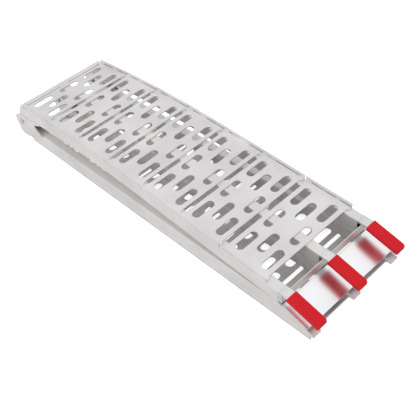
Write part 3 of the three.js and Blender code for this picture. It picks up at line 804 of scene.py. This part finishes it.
for place in PLACES:
    pin_low, pin_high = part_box(f"hinge_pin_{place}")
    washer_low, washer_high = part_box(f"hinge_washer_{place}")
    ring_low, ring_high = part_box(f"hinge_ring_{place}")
    bush_low, bush_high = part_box(f"hinge_bush_{place}")
    middle = (pin_low + pin_high) / 2
    head_side = 1 if washer_low.y < middle.y else -1
    centre = Vector((middle.x, 0, middle.z))

    def along(y, side=head_side):
        """A place on the pin's line, counted towards its head."""
        return y * side

    head = along(pin_high.y if head_side > 0 else pin_low.y)
    tail = along(pin_low.y if head_side > 0 else pin_high.y)
    ring_ends = sorted((along(ring_low.y), along(ring_high.y)))
    head_radius = (pin_high.z - pin_low.z) / 2
    groove = PIN_RADIUS - PIN_GROOVE
    pin = turned_piece(
        f"hinge_pin_{place}_turned",
        [
            (0, head),
            (head_radius - 2 * HEAD_CROWN, head),
            (head_radius - HEAD_CROWN / 2, head - HEAD_CROWN / 2),
            (head_radius, head - HEAD_CROWN),
            (head_radius, head - PIN_HEAD),
            (PIN_RADIUS, head - PIN_HEAD),
            (PIN_RADIUS, ring_ends[1] + FIT / 2),
            (groove, ring_ends[1] + FIT / 2),
            (groove, ring_ends[0] - FIT / 2),
            (PIN_RADIUS, ring_ends[0] - FIT / 2),
            (PIN_RADIUS, tail + SAW_BURR * 2),
            (PIN_RADIUS - SAW_BURR * 2, tail),
            (0, tail),
        ],
        centre,
        head_side,
    )
    finish_piece(pin, zinc, "ground_half", "plated_steel", f"hinge_pin_{place}")

    for node, body, low, high in (
        (f"hinge_washer_{place}", "ground_half", washer_low, washer_high),
        (f"hinge_bush_{place}", "lip_half", bush_low, bush_high),
    ):
        bore = PIN_RADIUS + FIT
        radius = (high.z - low.z) / 2
        profile = [
            (bore, low.y),
            (radius - SAW_BURR, low.y),
            (radius, low.y + SAW_BURR),
            (radius, high.y - SAW_BURR),
            (radius - SAW_BURR, high.y),
            (bore, high.y),
            (bore, low.y),
        ]
        piece = turned_piece(f"{node}_turned", profile, centre, 1)
        finish_piece(piece, zinc, body, "plated_steel", node)

    clip = bench_copy(f"hinge_ring_{place}", f"hinge_ring_{place}_clip")
    round_edges(clip, SAW_BURR / 2, lambda edge: edge.calc_face_angle(0) > RING_EDGE_ANGLE, facets=1)
    smooth_over(clip)
    finish_piece(clip, zinc, "ground_half", "plated_steel", f"hinge_ring_{place}")

# ---------------------------------------------------------------------------------------------------
# Welds. Short beads of filler metal, laid by hand as overlapping ripples, hold each half together.
# They join treads to rails in the slots, the lip strip, lugs, fingers and angle to the lip rails, and
# the foot plate's sides to the ground rails.
# ---------------------------------------------------------------------------------------------------
RIPPLE_PITCH = 0.0016
RIPPLE_WIDTH = 0.0021
RIPPLE_HEIGHT = 0.0012
RIPPLE_SEED = 7
RIPPLE_SCALES = (0.8, 1.15)
SIDE_INSET = 0.001
STRIP_BEAD_BACK = 0.0005
STRIP_BEAD_DROP = 0.0012
LUG_BEAD_DROP = 0.0012
FINGER_BEAD_DROP = 0.0004
ANGLE_BEAD_AHEAD = 0.0008
ANGLE_BEAD_RISES = (0.0032, 0.0048)
FILLER_TONE = (0.85, 0.845, 0.84)
FILLER_GRAIN = (300.0, 300.0, 300.0)


def build_weld_tree():
    """Lays a row of overlapping flattened ripples along each line, each a little unlike the last."""
    tree, given, made = sized_tree(
        "weld_ripples", {"Pitch": RIPPLE_PITCH, "Width": RIPPLE_WIDTH, "Height": RIPPLE_HEIGHT}
    )
    seed = tree.interface.new_socket(name="Seed", in_out="INPUT", socket_type="NodeSocketInt")
    seed.default_value = RIPPLE_SEED
    join = tree.links.new
    size = given.outputs
    path = add_node(tree, "GeometryNodeResampleCurve")
    path.mode = "LENGTH"
    join(size["Geometry"], path.inputs["Curve"])
    join(size["Pitch"], path.inputs["Length"])
    ripple = add_node(tree, "GeometryNodeMeshUVSphere")
    ripple.inputs["Segments"].default_value = 8
    ripple.inputs["Rings"].default_value = 5
    ripple.inputs["Radius"].default_value = 1.0
    shape = add_node(tree, "ShaderNodeCombineXYZ")
    join(size["Pitch"], shape.inputs["X"])
    join(size["Width"], shape.inputs["Y"])
    join(size["Height"], shape.inputs["Z"])
    unlike = add_node(tree, "FunctionNodeRandomValue", data_type="FLOAT")
    unlike.inputs[2].default_value, unlike.inputs[3].default_value = RIPPLE_SCALES
    join(size["Seed"], unlike.inputs["Seed"])
    scaled = add_node(tree, "ShaderNodeVectorMath", operation="SCALE")
    join(shape.outputs[0], scaled.inputs[0])
    join(unlike.outputs[1], scaled.inputs["Scale"])
    tangent = add_node(tree, "GeometryNodeInputTangent")
    turn = add_node(tree, "FunctionNodeAlignRotationToVector", axis="X")
    join(tangent.outputs[0], turn.inputs["Vector"])
    laid = add_node(tree, "GeometryNodeInstanceOnPoints")
    join(path.outputs[0], laid.inputs["Points"])
    join(ripple.outputs["Mesh"], laid.inputs["Instance"])
    join(turn.outputs[0], laid.inputs["Rotation"])
    join(scaled.outputs[0], laid.inputs["Scale"])
    real = add_node(tree, "GeometryNodeRealizeInstances")
    join(laid.outputs[0], real.inputs[0])
    coat = add_node(tree, "GeometryNodeSetMaterial")
    join(real.outputs[0], coat.inputs["Geometry"])
    join(size["Material"], coat.inputs["Material"])
    join(coat.outputs[0], made.inputs[0])
    return tree


weld_metal = aluminium(
    "weld_filler", FILLER_TONE, roughness=0.38, grain=0.8, wear=0.8, stretch=FILLER_GRAIN
)
weld_tree = build_weld_tree()


def across(x, z, y_low, y_high):
    """A bead across a rail."""
    return [(x, y_low + SIDE_INSET, z), (x, y_high - SIDE_INSET, z)]


def on_tread(node, run, y, rise):
    """A point on a tread: along it from its middle, across the ramp, and up from the sheet's back."""
    low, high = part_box(node)
    middle = (low + high) / 2
    slope = plate_slope(node)
    level = rise - (SHEET + SIDE_LIP) / 2
    if node in ground_treads:
        level = -level
    x = middle.x + run * math.cos(slope) + level * math.sin(slope)
    z = middle.z - run * math.sin(slope) + level * math.cos(slope)
    return (x, y, z)


ground_beads = []
lip_beads = []
SLOT_EDGE = TREAD_LENGTH / 2 - SLOT_CUT
for place in PLACES:
    rail_low, rail_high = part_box(f"lip_rail_{place}")
    ends = (rail_low.y + SIDE_INSET, rail_high.y - SIDE_INSET)
    for beads, treads in ((ground_beads, ground_treads), (lip_beads, lip_treads)):
        for node in treads:
            for run in (-SLOT_EDGE, SLOT_EDGE):
                beads.append([on_tread(node, run, y, 0) for y in ends])
    # The lip strip has a bead at the centre rail alone.
    if place == "centre":
        strip_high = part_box("lip_end_strip")[1]
        strip_x = strip_high.x - STRIP_BEAD_BACK
        lip_beads.append(across(strip_x, strip_high.z - STRIP_BEAD_DROP, rail_low.y, rail_high.y))

    lug_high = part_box(f"hinge_lug_{place}")[1]
    lip_beads.append(across(lug_high.x, lug_high.z - LUG_BEAD_DROP, rail_low.y, rail_high.y))

    finger_low, finger_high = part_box(f"finger_{place}")
    lip_beads.append(across(finger_low.x, finger_high.z - FINGER_BEAD_DROP, rail_low.y, rail_high.y))
    angle_x = angle_low.x + ANGLE_BEAD_AHEAD
    for rise in ANGLE_BEAD_RISES:
        lip_beads.append(across(angle_x, angle_low.z + rise, rail_low.y, rail_high.y))

# A short bead lies in the fold at both sides of every tread, just past the seam.
TAB_START = 0.002
TAB_END = 0.018
TAB_INSET = 0.0007
for beads, treads in ((ground_beads, ground_treads), (lip_beads, lip_treads)):
    for node in treads:
        for side in (-1, 1):
            y = side * (TREAD_WIDTH / 2 - SHEET - TAB_INSET)
            runs = (TAB_START - TREAD_LENGTH / 2, TAB_END - TREAD_LENGTH / 2)
            beads.append([on_tread(node, run, y, SHEET + TAB_INSET) for run in runs])

# The pocket behind the angle is closed at both sides of the ramp with upright passes of filler.
PASS_PITCH = 0.0021
PASSES = 5
FIRST_PASS = 0.2
PASS_INSET = RIPPLE_HEIGHT * 1.2
PASS_FOOT = 0.002
PASS_HEAD = 0.001
rail_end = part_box("lip_rail_near")[1].x
for side in (-1, 1):
    for step in range(PASSES):
        x = rail_end + (step + FIRST_PASS) * PASS_PITCH
        y = side * (angle_high.y - PASS_INSET)
        lip_beads.append([(x, y, angle_low.z + PASS_FOOT), (x, y, angle_high.z - PASS_HEAD)])

# A bead runs down each side of the foot plate.
FOOT_BEAD_START = 0.002
FOOT_BEAD_DROP = 0.0035
FOOT_BEAD_STOP = 0.006
FOOT_BEAD_RISE = 0.0022
foot_low, foot_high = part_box("foot_plate")
head_x = foot_low.x + FOOT_BEAD_START
toe_x = foot_high.x - FOOT_BEAD_STOP
for y in (foot_low.y - SIDE_INSET / 2, foot_high.y + SIDE_INSET / 2):
    ground_beads.append([(head_x, y, foot_high.z - FOOT_BEAD_DROP), (toe_x, y, foot_low.z + FOOT_BEAD_RISE)])

for body, beads in (("ground_half", ground_beads), ("lip_half", lip_beads)):
    name = f"{body}_welds"
    mesh = grown(name, polyline(name, beads), weld_tree, weld_metal)
    welds = bpy.data.objects.new(name, mesh)
    bpy.context.scene.collection.objects.link(welds)
    welds.data.polygons.foreach_set("use_smooth", [True] * len(mesh.polygons))
    finish_piece(welds, weld_metal, body, "rail_tube")

# ---------------------------------------------------------------------------------------------------
# Studio. A white floor that also glows a little, as on a light table, with large soft lamps above
# and to the left, and the camera that looks along the ramp from its lip end.
# ---------------------------------------------------------------------------------------------------
FLOOR_HALF = 9.0
FLOOR_TONE = (0.86, 0.86, 0.86, 1)
FLOOR_ROUGHNESS = 0.8
FLOOR_GLOW = 0.8
SKY_LIGHT = 0.76
SKY_SEEN = 1.0
WHITE = (1, 1, 1, 1)

scene = bpy.context.scene
scene.view_settings.view_transform = "Standard"

floor_mesh = bpy.data.meshes.new("floor")
floor_corners = [(x * FLOOR_HALF, y * FLOOR_HALF, 0) for x, y in ((-1, -1), (1, -1), (1, 1), (-1, 1))]
floor_mesh.from_pydata(floor_corners, [], [(0, 1, 2, 3)])
floor = bpy.data.objects.new("floor", floor_mesh)
scene.collection.objects.link(floor)
floor_material, floor_shader = material_of("pale_floor", metallic=0.0)
floor_shader.inputs["Roughness"].default_value = FLOOR_ROUGHNESS
floor_shader.inputs["Emission Color"].default_value = WHITE
floor_shader.inputs["Base Color"].default_value = FLOOR_TONE
floor_tree = floor_material.node_tree
sight = add_node(floor_tree, "ShaderNodeLightPath")
glow = add_node(floor_tree, "ShaderNodeMath", operation="MULTIPLY")
glow.inputs[1].default_value = FLOOR_GLOW
floor_tree.links.new(sight.outputs["Is Camera Ray"], glow.inputs[0])
floor_tree.links.new(glow.outputs[0], floor_shader.inputs["Emission Strength"])
floor.data.materials.append(floor_material)

world = bpy.data.worlds.new("studio")
scene.world = world
world.use_nodes = True
sky = world.node_tree.nodes["Background"]
sky.inputs["Color"].default_value = WHITE
sky_sight = add_node(world.node_tree, "ShaderNodeLightPath")
sky_strength = add_node(world.node_tree, "ShaderNodeMapRange", **{"To Min": SKY_LIGHT, "To Max": SKY_SEEN})
world.node_tree.links.new(sky_sight.outputs["Is Camera Ray"], sky_strength.inputs["Value"])
world.node_tree.links.new(sky_strength.outputs[0], sky.inputs["Strength"])


def soft_lamp(name, place, target, size, power, tint):
    """A square soft lamp that looks at its target."""
    lamp = bpy.data.lights.new(name, "AREA")
    lamp.shape = "SQUARE"
    lamp.size = size
    lamp.energy = power
    lamp.color = tint
    holder = bpy.data.objects.new(name, lamp)
    scene.collection.objects.link(holder)
    holder.location = place
    holder.rotation_euler = (Vector(target) - Vector(place)).to_track_quat("-Z", "Y").to_euler()


soft_lamp(
    "key_lamp", place=(-1.6, -1.2, 2.6), target=(0, 0, 0.1), size=2.2, power=15, tint=(1.0, 0.985, 0.965)
)
soft_lamp(
    "fill_lamp", place=(0.5, 1.35, 2.6), target=(0.4, 0, 0.05), size=1.7, power=3, tint=(0.965, 0.98, 1.0)
)
soft_lamp(
    "low_lamp", place=(-0.2, -2.8, 0.6), target=(0, 0, 0.05), size=2.2, power=3, tint=(1.0, 0.985, 0.97)
)

CAMERA_AT = (1.1274, -0.7400, 1.1940)
CAMERA_AZIMUTH = math.radians(54.24)
CAMERA_ELEVATION = math.radians(43.72)
CAMERA_ROLL = math.radians(-10.81)
LENS = 57.2
SENSOR_WIDTH = 36

back = Vector(
    (
        math.sin(CAMERA_AZIMUTH) * math.cos(CAMERA_ELEVATION),
        -math.cos(CAMERA_AZIMUTH) * math.cos(CAMERA_ELEVATION),
        math.sin(CAMERA_ELEVATION),
    )
)
level = Vector((0, 0, 1)).cross(back).normalized()
upright = back.cross(level)
right = level * math.cos(CAMERA_ROLL) + upright * math.sin(CAMERA_ROLL)
up = upright * math.cos(CAMERA_ROLL) - level * math.sin(CAMERA_ROLL)
camera_data = bpy.data.cameras.new("camera")
camera_data.lens = LENS
camera_data.sensor_width = SENSOR_WIDTH
camera = bpy.data.objects.new("camera", camera_data)
scene.collection.objects.link(camera)
turn = Matrix((right, up, back)).transposed().to_4x4()
camera.matrix_world = Matrix.Translation(CAMERA_AT) @ turn
scene.camera = camera
